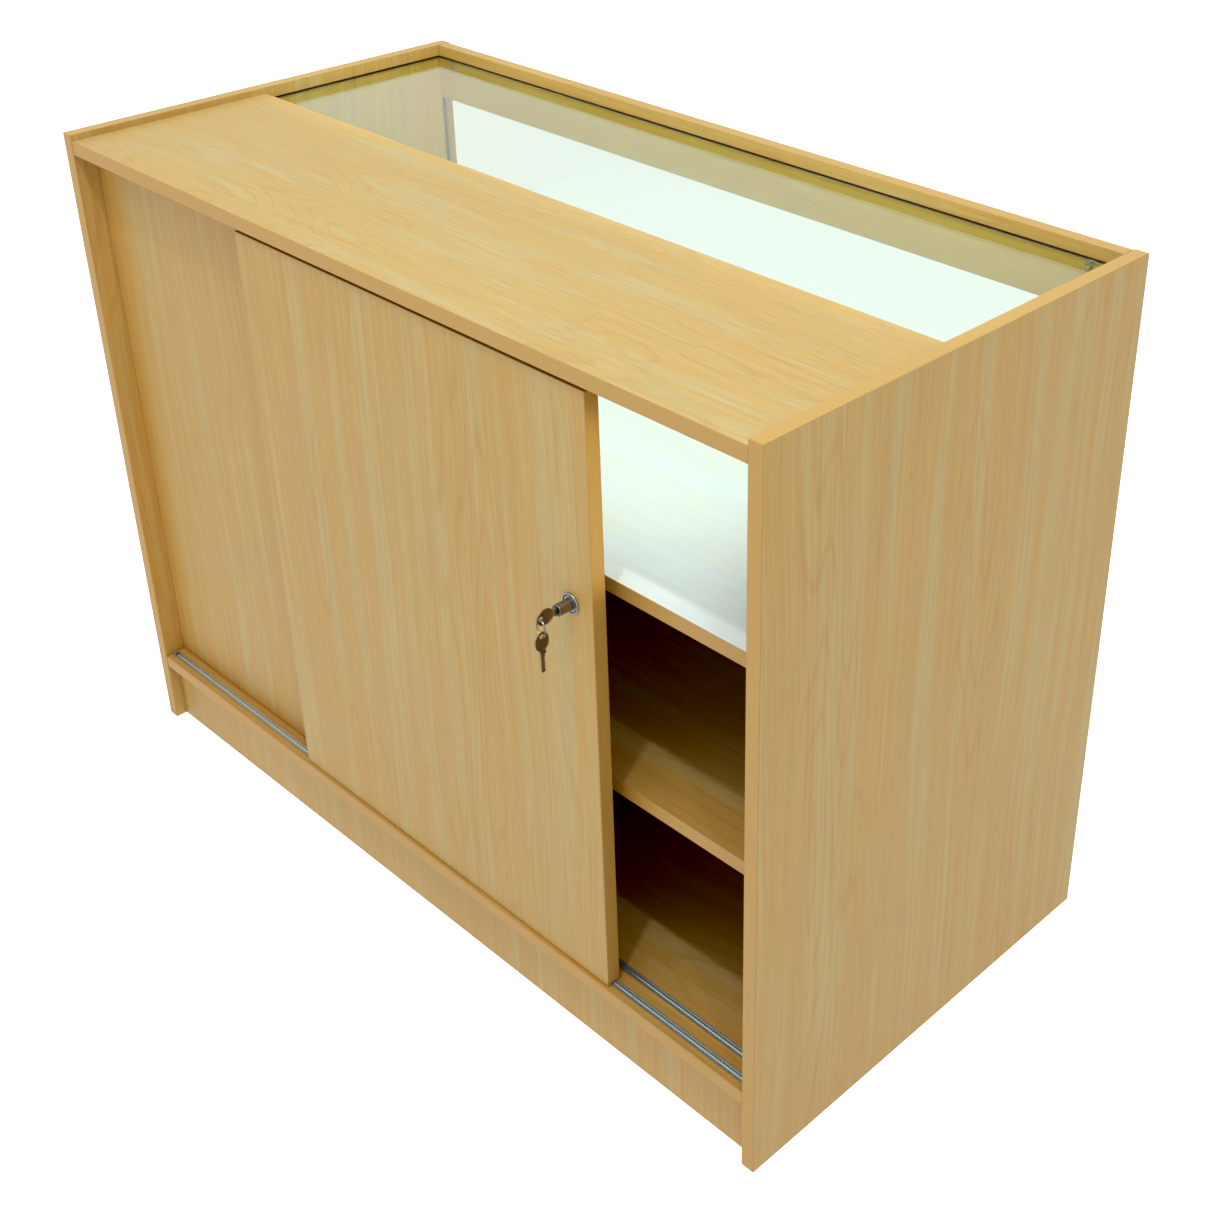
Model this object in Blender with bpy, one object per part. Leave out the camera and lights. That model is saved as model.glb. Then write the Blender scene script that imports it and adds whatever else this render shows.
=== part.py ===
"""A shop display counter: half timber top, half glass top, glass window and two sliding staff doors.

Units are metres and +Z is up. The floor is z = 0, X runs along the counter, the staff side with the
sliding doors faces -Y and the customers' window faces +Y. Pieces that touch keep a gap of 0.3 mm.
"""

import math

import bmesh
import bpy
from mathutils import Matrix, Vector

# Driving dimensions
WIDTH = 1.200
DEPTH = 0.600
HEIGHT = 0.900
BOARD = 0.018
GAP = 0.0003
EDGE_RADIUS = 0.0008

# Carcass levels and setbacks
BASE_UNDERSIDE = 0.092
STORAGE_SHELF_TOP = 0.3715
DISPLAY_SHELF_TOP = 0.632
TIMBER_TOP_LEVEL = 0.892
TIMBER_TOP_DEPTH = 0.2843
STAFF_SETBACK = 0.0007
CUSTOMER_SETBACK = 0.003
PLINTH_SETBACK = 0.016
SHELF_SETBACK = 0.050
RAIL_HEIGHT = 0.0816

# Glass
TOP_GLASS = 0.006
TOP_GLASS_LEVEL = 0.8838
TOP_GLASS_CLEARANCE = 0.001
TOP_GLASS_BITE = 0.007
WINDOW_GLASS = 0.005
WINDOW_Y = 0.2845
GROOVE_CLEARANCE = 0.0005
GROOVE_DEPTH = 0.006
RAIL_GROOVE_DEPTH = 0.011
SILL_GROOVE_DEPTH = 0.008

# Sliding doors
DOOR_WIDTH = 0.593
DOOR_BOTTOM = 0.1107
DOOR_TOP = 0.868
OUTER_DOOR_Y = -0.286
INNER_DOOR_Y = -0.261
OUTER_DOOR_REST_X = 0.071
DOOR_STOP_CLEARANCE = 0.0005

# Door running gear
TRACK_WIDTH = 0.0095
TRACK_BASE = 0.0012
TRACK_LIP = 0.0020
TRACK_RIB = 0.0025
TRACK_RIB_WIDTH = 0.0026
TRACK_LIP_WIDTH = 0.0011
DOOR_GROOVE_WIDTH = 0.0104
DOOR_GROOVE_DEPTH = 0.0025
ROLLER_INSET = 0.080
ROLLER_TREAD_RADIUS = 0.0110
ROLLER_FLANGE_RADIUS = 0.0120
ROLLER_WIDTH = 0.006
ROLLER_GROOVE_WIDTH = 0.0034
AXLE_RADIUS = 0.0015
HOUSING_SIZE = (0.0394, 0.0114, 0.0264)
HOUSING_WALL = 0.0016
GUIDE_INSET = 0.060
GUIDE_BODY_RADIUS = 0.005
GUIDE_BODY_LENGTH = 0.020
GUIDE_PIN_RADIUS = 0.0038
GUIDE_PIN_REACH = 0.0115
GUIDE_TRACK_HEIGHT = 0.008
GUIDE_SLOT_WIDTH = 0.0086
GUIDE_SLOT_DEPTH = 0.0065
GUIDE_TRACK_Y = (-0.296, -0.251)

# Push lock in the outer door
LOCK_EDGE_DISTANCE = 0.0325
LOCK_Z = 0.6185
LOCK_PROUD = 0.020
BARREL_RADIUS = 0.00675
BARREL_BORE_RADIUS = 0.0051
BARREL_LENGTH = 0.024
BARREL_BACK = 0.001
HOUSING_TUBE_RADIUS = 0.009
HOUSING_BACK = 0.002
FLANGE_RADIUS = 0.012
FLANGE_THICKNESS = 0.0022
FLANGE_RIM = 0.0017
FLANGE_RECESS = 0.0009
BOLT_RADIUS = 0.0045
NUT_RADIUS = 0.0125
NUT_THICKNESS = 0.0017
STRIKE_RADIUS = 0.007

# Keys and key ring; distances along a key run from the centre of its ring hole
KEY_THICKNESS = 0.0018
KEY_BOW_CENTRE = 0.0060
KEY_BOW_HALF_LENGTH = 0.0113
KEY_BOW_HALF_WIDTH = 0.0090
KEY_HOLE_RADIUS = 0.0029
KEY_COLLAR = (0.0160, 0.0210)
KEY_COLLAR_WIDTH = 0.0074
KEY_COLLAR_THICKNESS = 0.0034
KEY_BLADE_WIDTH = 0.0055
KEY_BLADE_LENGTH = 0.0225
KEYWAY_CLEARANCE = 0.0003
RING_RADIUS = 0.010
RING_WIRE_RADIUS = 0.00055
RING_OFFSET = 0.0004
RING_YAW = math.radians(-14)

# Fixings
DOWEL_RADIUS = 0.004
DOWEL_IN_PANEL = 0.012
DOWEL_IN_BOARD = 0.018
PIN_RADIUS = 0.0025
PIN_IN_PANEL = 0.008
PIN_REACH = 0.008
PIN_COLLAR_RADIUS = 0.004
PIN_COLLAR = 0.001
PIN_HOLE_PITCH = 0.032
PIN_HOLES_EACH_WAY = 3
PIN_ROWS_Y = (-0.190, 0.220)
SUPPORT_WIDTH = 0.008
SUPPORT_HEIGHT = 0.0135
SUPPORT_REACH = 0.008
SUPPORT_THICKNESS = 0.0025
LEDGE_STEP = 0.0005
SUPPORT_X = (-0.549, 0.542)
SCREW_RADIUS = 0.0015
SCREW_HEAD_RADIUS = 0.0026
SCREW_HEAD = 0.002
SCREW_LENGTH = 0.012

# Worked out from the above
INNER_HALF = WIDTH / 2 - BOARD
SPAN_HALF = INNER_HALF - GAP
STAFF_Y = -DEPTH / 2 + STAFF_SETBACK
CUSTOMER_Y = DEPTH / 2 - CUSTOMER_SETBACK
PANEL_BACK_Y = CUSTOMER_Y - BOARD
BASE_TOP = BASE_UNDERSIDE + BOARD
SHELF_Y = -DEPTH / 2 + SHELF_SETBACK
TIMBER_FAR_Y = STAFF_Y + TIMBER_TOP_DEPTH
TIMBER_UNDERSIDE = TIMBER_TOP_LEVEL - BOARD
TOP_GLASS_UNDERSIDE = TOP_GLASS_LEVEL - TOP_GLASS
RAIL_UNDERSIDE = HEIGHT - RAIL_HEIGHT
WINDOW_GROOVE_Y = (
    WINDOW_Y - WINDOW_GLASS / 2 - GROOVE_CLEARANCE,
    WINDOW_Y + WINDOW_GLASS / 2 + GROOVE_CLEARANCE,
)
INNER_DOOR_REST_X = -INNER_HALF + DOOR_STOP_CLEARANCE + DOOR_WIDTH / 2
OUTER_DOOR_AT_LEFT = INNER_DOOR_REST_X - OUTER_DOOR_REST_X
OUTER_DOOR_FRONT = OUTER_DOOR_Y - BOARD / 2
OUTER_DOOR_BACK = OUTER_DOOR_Y + BOARD / 2
LOCK_X = OUTER_DOOR_REST_X + DOOR_WIDTH / 2 - LOCK_EDGE_DISTANCE
STRIKE_X = LOCK_X + OUTER_DOOR_AT_LEFT
BARREL_FRONT = OUTER_DOOR_FRONT - LOCK_PROUD
BARREL_REAR = BARREL_FRONT + BARREL_LENGTH
TRACK_FLOOR = BASE_TOP + GAP
ROLLER_Z = TRACK_FLOOR + TRACK_RIB + GAP + ROLLER_TREAD_RADIUS
PIN_Z = STORAGE_SHELF_TOP - BOARD - GAP - PIN_RADIUS

ROUND = 32
SMALL_ROUND = 16


def material(name, colour, roughness, metallic=0.0, alpha=1.0):
    made = bpy.data.materials.new(name)
    made.use_nodes = True
    shader = made.node_tree.nodes["Principled BSDF"]
    shader.inputs["Base Color"].default_value = (*colour, 1.0)
    shader.inputs["Roughness"].default_value = roughness
    shader.inputs["Metallic"].default_value = metallic
    shader.inputs["Alpha"].default_value = alpha
    made.diffuse_color = (*colour, alpha)
    return made


def make_materials():
    return {
        "maple": material("maple_laminate", (0.52, 0.36, 0.15), 0.45),
        "maple_top": material("maple_top_laminate", (0.68, 0.52, 0.27), 0.40),
        "glass": material("glass", (0.85, 0.95, 0.90), 0.03, alpha=0.3),
        "aluminium": material("aluminium", (0.75, 0.77, 0.80), 0.30, metallic=1.0),
        "brown_plastic": material("brown_plastic", (0.10, 0.045, 0.015), 0.50),
        "white_plastic": material("white_plastic", (0.80, 0.80, 0.78), 0.45),
        "clear_plastic": material("clear_plastic", (0.75, 0.78, 0.76), 0.20, alpha=0.6),
        "chrome": material("chrome", (0.80, 0.80, 0.82), 0.12, metallic=1.0),
        "steel": material("steel", (0.60, 0.60, 0.60), 0.35, metallic=1.0),
        "key_metal": material("key_metal", (0.72, 0.68, 0.60), 0.18, metallic=1.0),
        "beech": material("beech", (0.62, 0.45, 0.28), 0.70),
    }


def clear_scene():
    for thing in list(bpy.data.objects):
        bpy.data.objects.remove(thing, do_unlink=True)


def world_place(thing):
    place = thing.location.copy()
    while thing.parent:
        thing = thing.parent
        place += thing.location
    return place


def add_object(name, mesh_builder, made_of=None, origin=(0, 0, 0), parent=None, smooth=True):
    """An object from a bmesh in world coordinates, with its own origin at the given place."""
    origin = Vector(origin)
    bmesh.ops.recalc_face_normals(mesh_builder, faces=mesh_builder.faces)
    bmesh.ops.translate(mesh_builder, vec=-origin, verts=mesh_builder.verts)
    mesh = bpy.data.meshes.new(name)
    mesh_builder.to_mesh(mesh)
    mesh_builder.free()
    thing = bpy.data.objects.new(name, mesh)
    bpy.context.scene.collection.objects.link(thing)
    thing.location = origin
    if parent:
        thing.parent = parent
        thing.location = origin - world_place(parent)
    if made_of:
        mesh.materials.append(made_of)
    if smooth:
        mesh.shade_smooth()
        mesh.set_sharp_from_angle(angle=math.radians(35))
    return thing


def add_axis(name, place, parent=None):
    """An empty on a joint's axis."""
    empty = bpy.data.objects.new(name, None)
    bpy.context.scene.collection.objects.link(empty)
    empty.empty_display_size = 0.02
    empty.location = Vector(place)
    if parent:
        empty.parent = parent
        empty.location = Vector(place) - world_place(parent)
    return empty


def add_box(builder, low, high):
    low, high = Vector(low), Vector(high)
    size = high - low
    place = Matrix.Translation((low + high) / 2) @ Matrix.Diagonal((*size, 1))
    bmesh.ops.create_cube(builder, size=1.0, matrix=place)


def add_rod(builder, start, end, radius, segments=SMALL_ROUND):
    start, end = Vector(start), Vector(end)
    along = end - start
    turn = along.to_track_quat("Z", "Y").to_matrix().to_4x4()
    place = Matrix.Translation((start + end) / 2) @ turn
    bmesh.ops.create_cone(
        builder, cap_ends=True, segments=segments, radius1=radius, radius2=radius,
        depth=along.length, matrix=place,
    )


def add_turned(builder, profile, place, segments=ROUND):
    """A solid of revolution about local Z from (radius, height) points; place puts it in the world.

    A profile that starts and ends at radius 0 is a solid, any other is closed on itself as a ring.
    """
    is_solid = profile[0][0] == 0 and profile[-1][0] == 0
    rings = []
    for radius, height in profile:
        if radius == 0:
            rings.append([builder.verts.new(place @ Vector((0, 0, height)))])
            continue
        ring = []
        for step in range(segments):
            angle = math.tau * step / segments
            point = Vector((radius * math.cos(angle), radius * math.sin(angle), height))
            ring.append(builder.verts.new(place @ point))
        rings.append(ring)
    pairs = list(zip(rings, rings[1:]))
    if not is_solid:
        pairs.append((rings[-1], rings[0]))
    for lower, upper in pairs:
        for step in range(segments):
            after = (step + 1) % segments
            corners = [lower[step % len(lower)], lower[after % len(lower)]]
            corners += [upper[after % len(upper)], upper[step % len(upper)]]
            builder.faces.new(list(dict.fromkeys(corners)))


def add_extruded(builder, outline, place, height):
    """A prism of the (u, v) outline, from local z = 0 to height; place puts it in the world."""
    bottom = [builder.verts.new(place @ Vector((u, v, 0))) for u, v in outline]
    top = [builder.verts.new(place @ Vector((u, v, height))) for u, v in outline]
    builder.faces.new(bottom)
    builder.faces.new(top)
    for index in range(len(outline)):
        after = (index + 1) % len(outline)
        builder.faces.new([bottom[index], bottom[after], top[after], top[index]])


def along_y(x, z, y=0.0):
    """Places local Z along +Y through the point (x, y, z)."""
    return Matrix.Translation((x, y, z)) @ Matrix.Rotation(-math.pi / 2, 4, "X")


def along_x(x, y, z):
    """Places local Z along +X, with local X on world Y and local Y on world Z."""
    axes = Matrix(((0, 0, 1, 0), (1, 0, 0, 0), (0, 1, 0, 0), (0, 0, 0, 1)))
    return Matrix.Translation((x, y, z)) @ axes


def boolean(target, tool_builder, operation="DIFFERENCE"):
    """Cuts a bmesh of tools, in world coordinates, out of the target, or joins it on."""
    label = "cut" if operation == "DIFFERENCE" else "join"
    tool = add_object(f"{target.name}_{label}_tool", tool_builder, smooth=False)
    tool.hide_render = True
    tool.display_type = "WIRE"
    change = target.modifiers.new(label, "BOOLEAN")
    change.operation = operation
    change.solver = "EXACT"
    change.object = tool


def add_board(name, low, high, made_of, parent=None, origin=None):
    """A laminated board with softly rounded edges."""
    builder = bmesh.new()
    add_box(builder, low, high)
    middle = (Vector(low) + Vector(high)) / 2
    board = add_object(name, builder, made_of, origin or middle, parent)
    edges = board.modifiers.new("edge_radius", "BEVEL")
    edges.width = EDGE_RADIUS
    edges.segments = 2
    edges.limit_method = "ANGLE"
    return board


def dowel_places():
    """Each dowel's name, side of the counter, y and z."""
    places = []
    for side in (-1, 1):
        hand = "left" if side < 0 else "right"
        base_z = BASE_UNDERSIDE + BOARD / 2
        top_z = TIMBER_UNDERSIDE + BOARD / 2
        places.append((f"base_dowel_{hand}_staff", side, -0.220, base_z))
        places.append((f"base_dowel_{hand}_customer", side, 0.200, base_z))
        places.append((f"top_dowel_{hand}_staff", side, -0.200, top_z))
        places.append((f"top_dowel_{hand}_customer", side, -0.070, top_z))
    return places


def add_dowels(made_of):
    for name, side, y, z in dowel_places():
        builder = bmesh.new()
        start = (side * (INNER_HALF + DOWEL_IN_PANEL), y, z)
        end = (side * (INNER_HALF - DOWEL_IN_BOARD), y, z)
        add_rod(builder, start, end, DOWEL_RADIUS)
        add_object(name, builder, made_of, start)


def dowel_holes(builder, z_low, z_high):
    for _, side, y, z in dowel_places():
        if z_low < z < z_high:
            start = (side * (INNER_HALF + DOWEL_IN_PANEL + GAP), y, z)
            end = (side * (INNER_HALF - DOWEL_IN_BOARD - GAP), y, z)
            add_rod(builder, start, end, DOWEL_RADIUS + GAP)


def add_end_panels(made_of):
    for side, name in ((-1, "end_panel_left"), (1, "end_panel_right")):
        inner, outer = side * INNER_HALF, side * WIDTH / 2
        low = (min(inner, outer), -DEPTH / 2, 0)
        high = (max(inner, outer), DEPTH / 2, HEIGHT)
        panel = add_board(name, low, high, made_of)
        tools = bmesh.new()
        reach = side * (INNER_HALF + GROOVE_DEPTH)
        start = side * (INNER_HALF - GROOVE_DEPTH)
        groove_low = (min(start, reach), WINDOW_GROOVE_Y[0], DISPLAY_SHELF_TOP - SILL_GROOVE_DEPTH)
        groove_high = (max(start, reach), WINDOW_GROOVE_Y[1], RAIL_UNDERSIDE + RAIL_GROOVE_DEPTH)
        add_box(tools, groove_low, groove_high)
        for _, dowel_side, y, z in dowel_places():
            if dowel_side == side:
                hole_end = side * (INNER_HALF + DOWEL_IN_PANEL + GAP)
                add_rod(tools, (start, y, z), (hole_end, y, z), DOWEL_RADIUS + GAP)
        for y in PIN_ROWS_Y:
            for step in range(-PIN_HOLES_EACH_WAY, PIN_HOLES_EACH_WAY + 1):
                z = PIN_Z + step * PIN_HOLE_PITCH
                hole_end = side * (INNER_HALF + PIN_IN_PANEL + GAP)
                add_rod(tools, (start, y, z), (hole_end, y, z), PIN_RADIUS + GAP, 12)
        boolean(panel, tools)


def add_base(made_of):
    base = add_board(
        "bottom_board", (-SPAN_HALF, STAFF_Y, BASE_UNDERSIDE),
        (SPAN_HALF, PANEL_BACK_Y - GAP, BASE_TOP), made_of,
    )
    tools = bmesh.new()
    dowel_holes(tools, BASE_UNDERSIDE, BASE_TOP)
    boolean(base, tools)
    top = BASE_UNDERSIDE - GAP
    staff_y = -DEPTH / 2 + PLINTH_SETBACK
    customer_y = DEPTH / 2 - PLINTH_SETBACK
    add_board("plinth_staff", (-SPAN_HALF, staff_y, 0), (SPAN_HALF, staff_y + BOARD, top), made_of)
    add_board(
        "plinth_customer", (-SPAN_HALF, customer_y - BOARD, 0), (SPAN_HALF, customer_y, top), made_of
    )
    add_board(
        "centre_support", (-BOARD / 2, staff_y + BOARD + GAP, 0),
        (BOARD / 2, customer_y - BOARD - GAP, top), made_of,
    )


def add_shelves(made_of):
    add_board(
        "display_shelf", (-SPAN_HALF, SHELF_Y, DISPLAY_SHELF_TOP - BOARD),
        (SPAN_HALF, PANEL_BACK_Y - GAP, DISPLAY_SHELF_TOP), made_of,
    )
    shelf_end = INNER_HALF - 2 * PIN_COLLAR
    add_board(
        "storage_shelf", (-shelf_end, SHELF_Y, STORAGE_SHELF_TOP - BOARD),
        (shelf_end, PANEL_BACK_Y - 0.003, STORAGE_SHELF_TOP), made_of,
    )


def add_shelf_pins(made_of):
    for side, hand in ((-1, "left"), (1, "right")):
        for y, end in zip(PIN_ROWS_Y, ("staff", "customer")):
            face = side * INNER_HALF
            profile = [
                (0, -PIN_IN_PANEL), (PIN_RADIUS, -PIN_IN_PANEL), (PIN_RADIUS, GAP),
                (PIN_COLLAR_RADIUS, GAP), (PIN_COLLAR_RADIUS, GAP + PIN_COLLAR),
                (PIN_RADIUS, GAP + PIN_COLLAR), (PIN_RADIUS, PIN_REACH), (0, PIN_REACH),
            ]
            turn = Matrix.Rotation(-side * math.pi / 2, 4, "Y")
            place = Matrix.Translation((face, y, PIN_Z)) @ turn
            builder = bmesh.new()
            add_turned(builder, profile, place, SMALL_ROUND)
            add_object(f"shelf_pin_{hand}_{end}", builder, made_of, (face, y, PIN_Z))


def add_customer_side(made_of):
    front = add_board(
        "front_panel", (-SPAN_HALF, PANEL_BACK_Y, BASE_UNDERSIDE),
        (SPAN_HALF, CUSTOMER_Y, DISPLAY_SHELF_TOP), made_of,
    )
    tools = bmesh.new()
    add_box(
        tools, (-WIDTH / 2, WINDOW_GROOVE_Y[0], DISPLAY_SHELF_TOP - SILL_GROOVE_DEPTH),
        (WIDTH / 2, WINDOW_GROOVE_Y[1], DISPLAY_SHELF_TOP + SILL_GROOVE_DEPTH),
    )
    boolean(front, tools)
    rail = add_board(
        "front_rail", (-SPAN_HALF, PANEL_BACK_Y, RAIL_UNDERSIDE),
        (SPAN_HALF, CUSTOMER_Y, HEIGHT), made_of,
    )
    tools = bmesh.new()
    add_box(
        tools, (-WIDTH / 2, WINDOW_GROOVE_Y[0], RAIL_UNDERSIDE - RAIL_GROOVE_DEPTH),
        (WIDTH / 2, WINDOW_GROOVE_Y[1], RAIL_UNDERSIDE + RAIL_GROOVE_DEPTH),
    )
    for x in SUPPORT_X:
        start = (x, PANEL_BACK_Y - 0.004, support_screw_z())
        end = (x, PANEL_BACK_Y + SCREW_LENGTH - SUPPORT_THICKNESS, support_screw_z())
        add_rod(tools, start, end, SCREW_RADIUS + GAP, 12)
    boolean(rail, tools)


def add_timber_top(made_of):
    top = add_board(
        "timber_top", (-SPAN_HALF, STAFF_Y, TIMBER_UNDERSIDE),
        (SPAN_HALF, TIMBER_FAR_Y, TIMBER_TOP_LEVEL), made_of,
    )
    tools = bmesh.new()
    dowel_holes(tools, TIMBER_UNDERSIDE, TIMBER_TOP_LEVEL)
    add_box(
        tools, (-WIDTH / 2, TIMBER_FAR_Y - TOP_GLASS_BITE - GAP, TOP_GLASS_UNDERSIDE - GAP),
        (WIDTH / 2, TIMBER_FAR_Y + 0.01, TOP_GLASS_LEVEL + GAP),
    )
    low_y, high_y = GUIDE_TRACK_Y
    add_box(
        tools, (-WIDTH / 2, low_y - GAP, TIMBER_UNDERSIDE - GUIDE_TRACK_HEIGHT),
        (WIDTH / 2, high_y + GAP, TIMBER_UNDERSIDE + GUIDE_TRACK_HEIGHT + GAP),
    )
    boolean(top, tools)


def add_glass(made_of):
    builder = bmesh.new()
    half = INNER_HALF - TOP_GLASS_CLEARANCE
    add_box(
        builder, (-half, TIMBER_FAR_Y - TOP_GLASS_BITE, TOP_GLASS_UNDERSIDE),
        (half, PANEL_BACK_Y - TOP_GLASS_CLEARANCE, TOP_GLASS_LEVEL),
    )
    polish(add_object("glass_top", builder, made_of, (0, 0, TOP_GLASS_LEVEL)))
    builder = bmesh.new()
    half = INNER_HALF + GROOVE_DEPTH - GROOVE_CLEARANCE
    low_z = DISPLAY_SHELF_TOP - SILL_GROOVE_DEPTH + GAP
    high_z = RAIL_UNDERSIDE + RAIL_GROOVE_DEPTH - 0.002
    add_box(
        builder, (-half, WINDOW_Y - WINDOW_GLASS / 2, low_z),
        (half, WINDOW_Y + WINDOW_GLASS / 2, high_z),
    )
    polish(add_object("window_glass", builder, made_of, (0, WINDOW_Y, low_z)))


def polish(pane):
    """The arrissed edges of a glass pane."""
    arris = pane.modifiers.new("arris", "BEVEL")
    arris.width = 0.0005
    arris.segments = 1
    arris.limit_method = "ANGLE"


def support_screw_z():
    return TOP_GLASS_UNDERSIDE - SUPPORT_HEIGHT * 0.58


def add_glass_supports(plastic, steel):
    """Brackets on the rail that carry the customer edge of the glass top."""
    top = TOP_GLASS_UNDERSIDE - GAP
    back = PANEL_BACK_Y - GAP
    half = SUPPORT_WIDTH / 2
    for x, hand in zip(SUPPORT_X, ("left", "right")):
        builder = bmesh.new()
        centre_z = top - SUPPORT_HEIGHT + half
        outline = [(half, top - LEDGE_STEP), (-half, top - LEDGE_STEP)]
        for step in range(9):
            angle = math.pi + math.pi * step / 8
            outline.append((half * math.cos(angle), centre_z + half * math.sin(angle)))
        place = Matrix(((1, 0, 0, x), (0, 0, -1, back), (0, 1, 0, 0), (0, 0, 0, 1)))
        add_extruded(builder, outline, place, SUPPORT_THICKNESS)
        bracket = add_object(f"glass_support_{hand}", builder, plastic, (x, back, top))
        ledge = bmesh.new()
        add_box(
            ledge, (x - half + LEDGE_STEP, back - SUPPORT_REACH, top - SUPPORT_THICKNESS),
            (x + half - LEDGE_STEP, back - SUPPORT_THICKNESS / 2, top),
        )
        boolean(bracket, ledge, "UNION")
        tools = bmesh.new()
        z = support_screw_z()
        add_rod(tools, (x, back - 0.006, z), (x, back + 0.002, z), SCREW_RADIUS + GAP, 12)
        boolean(bracket, tools)
        face = back - SUPPORT_THICKNESS - GAP
        profile = [
            (0, -SCREW_HEAD), (SCREW_HEAD_RADIUS * 0.6, -SCREW_HEAD * 0.92),
            (SCREW_HEAD_RADIUS, -SCREW_HEAD * 0.4), (SCREW_HEAD_RADIUS, 0), (SCREW_RADIUS, 0),
            (SCREW_RADIUS, SCREW_LENGTH * 0.8), (0, SCREW_LENGTH),
        ]
        screw = bmesh.new()
        add_turned(screw, profile, along_y(x, z, face), SMALL_ROUND)
        add_object(f"support_screw_{hand}", screw, steel, (x, face, z))


def add_bottom_tracks(made_of):
    """Low aluminium tracks, each with two lips and the rib that the rollers run on."""
    half = TRACK_WIDTH / 2
    rib = TRACK_RIB_WIDTH / 2
    right_half = [
        (half, 0), (half, TRACK_LIP), (half - TRACK_LIP_WIDTH, TRACK_LIP),
        (half - TRACK_LIP_WIDTH, TRACK_BASE), (rib, TRACK_BASE), (rib, TRACK_RIB - rib / 2),
        (rib * 0.5, TRACK_RIB),
    ]
    outline = right_half + [(-y, z) for y, z in reversed(right_half)]
    for name, y in (("bottom_track_outer", OUTER_DOOR_Y), ("bottom_track_inner", INNER_DOOR_Y)):
        builder = bmesh.new()
        add_extruded(builder, outline, along_x(-SPAN_HALF, y, TRACK_FLOOR), 2 * SPAN_HALF)
        add_object(name, builder, made_of, (0, y, TRACK_FLOOR))


def add_top_guide_track(made_of):
    """The double channel let into the underside of the timber top, open downwards."""
    low_y, high_y = GUIDE_TRACK_Y
    floor = TIMBER_UNDERSIDE
    roof = floor + GUIDE_TRACK_HEIGHT
    outline = [(low_y, floor), (low_y, roof), (high_y, roof), (high_y, floor)]
    for y in (INNER_DOOR_Y, OUTER_DOOR_Y):
        slot = GUIDE_SLOT_WIDTH / 2
        slot_roof = floor + GUIDE_SLOT_DEPTH
        outline += [(y + slot, floor), (y + slot, slot_roof), (y - slot, slot_roof), (y - slot, floor)]
    builder = bmesh.new()
    add_extruded(builder, outline, along_x(-SPAN_HALF, 0, 0), 2 * SPAN_HALF)
    add_object("top_guide_track", builder, made_of, (0, (low_y + high_y) / 2, roof))


def add_door(name, centre_x, y, holes, made_of):
    """One sliding door with its rollers and top guides; returns the empty on its slide."""
    slide = add_axis(f"{name}_slide", (centre_x, y, DOOR_BOTTOM))
    low = (centre_x - DOOR_WIDTH / 2, y - BOARD / 2, DOOR_BOTTOM)
    high = (centre_x + DOOR_WIDTH / 2, y + BOARD / 2, DOOR_TOP)
    door = add_board(name, low, high, made_of["maple"], slide, (centre_x, y, DOOR_BOTTOM))
    tools = bmesh.new()
    add_box(
        tools, (centre_x - DOOR_WIDTH, y - DOOR_GROOVE_WIDTH / 2, DOOR_BOTTOM - 0.01),
        (centre_x + DOOR_WIDTH, y + DOOR_GROOVE_WIDTH / 2, DOOR_BOTTOM + DOOR_GROOVE_DEPTH),
    )
    pockets = bmesh.new()
    length, width, height = HOUSING_SIZE
    for side in (-1, 1):
        x = centre_x + side * (DOOR_WIDTH / 2 - ROLLER_INSET)
        add_box(
            pockets, (x - length / 2 - GAP, y - width / 2 - GAP, DOOR_BOTTOM - 0.01),
            (x + length / 2 + GAP, y + width / 2 + GAP, housing_floor() + height + GAP),
        )
        x = centre_x + side * (DOOR_WIDTH / 2 - GUIDE_INSET)
        add_rod(
            pockets, (x, y, DOOR_TOP - GUIDE_BODY_LENGTH - GAP), (x, y, DOOR_TOP + 0.01),
            GUIDE_BODY_RADIUS + GAP,
        )
    for x, z, radius in holes:
        add_rod(pockets, (x, y - BOARD, z), (x, y + BOARD, z), radius, ROUND)
    boolean(door, tools)
    boolean(door, pockets)
    for side, hand in ((-1, "left"), (1, "right")):
        add_roller(f"{name}_{hand}", centre_x + side * (DOOR_WIDTH / 2 - ROLLER_INSET), y, slide, made_of)
        add_top_guide(
            f"{name}_guide_{hand}", centre_x + side * (DOOR_WIDTH / 2 - GUIDE_INSET), y, slide,
            made_of["white_plastic"],
        )
    return slide


def housing_floor():
    return DOOR_BOTTOM + DOOR_GROOVE_DEPTH


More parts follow.
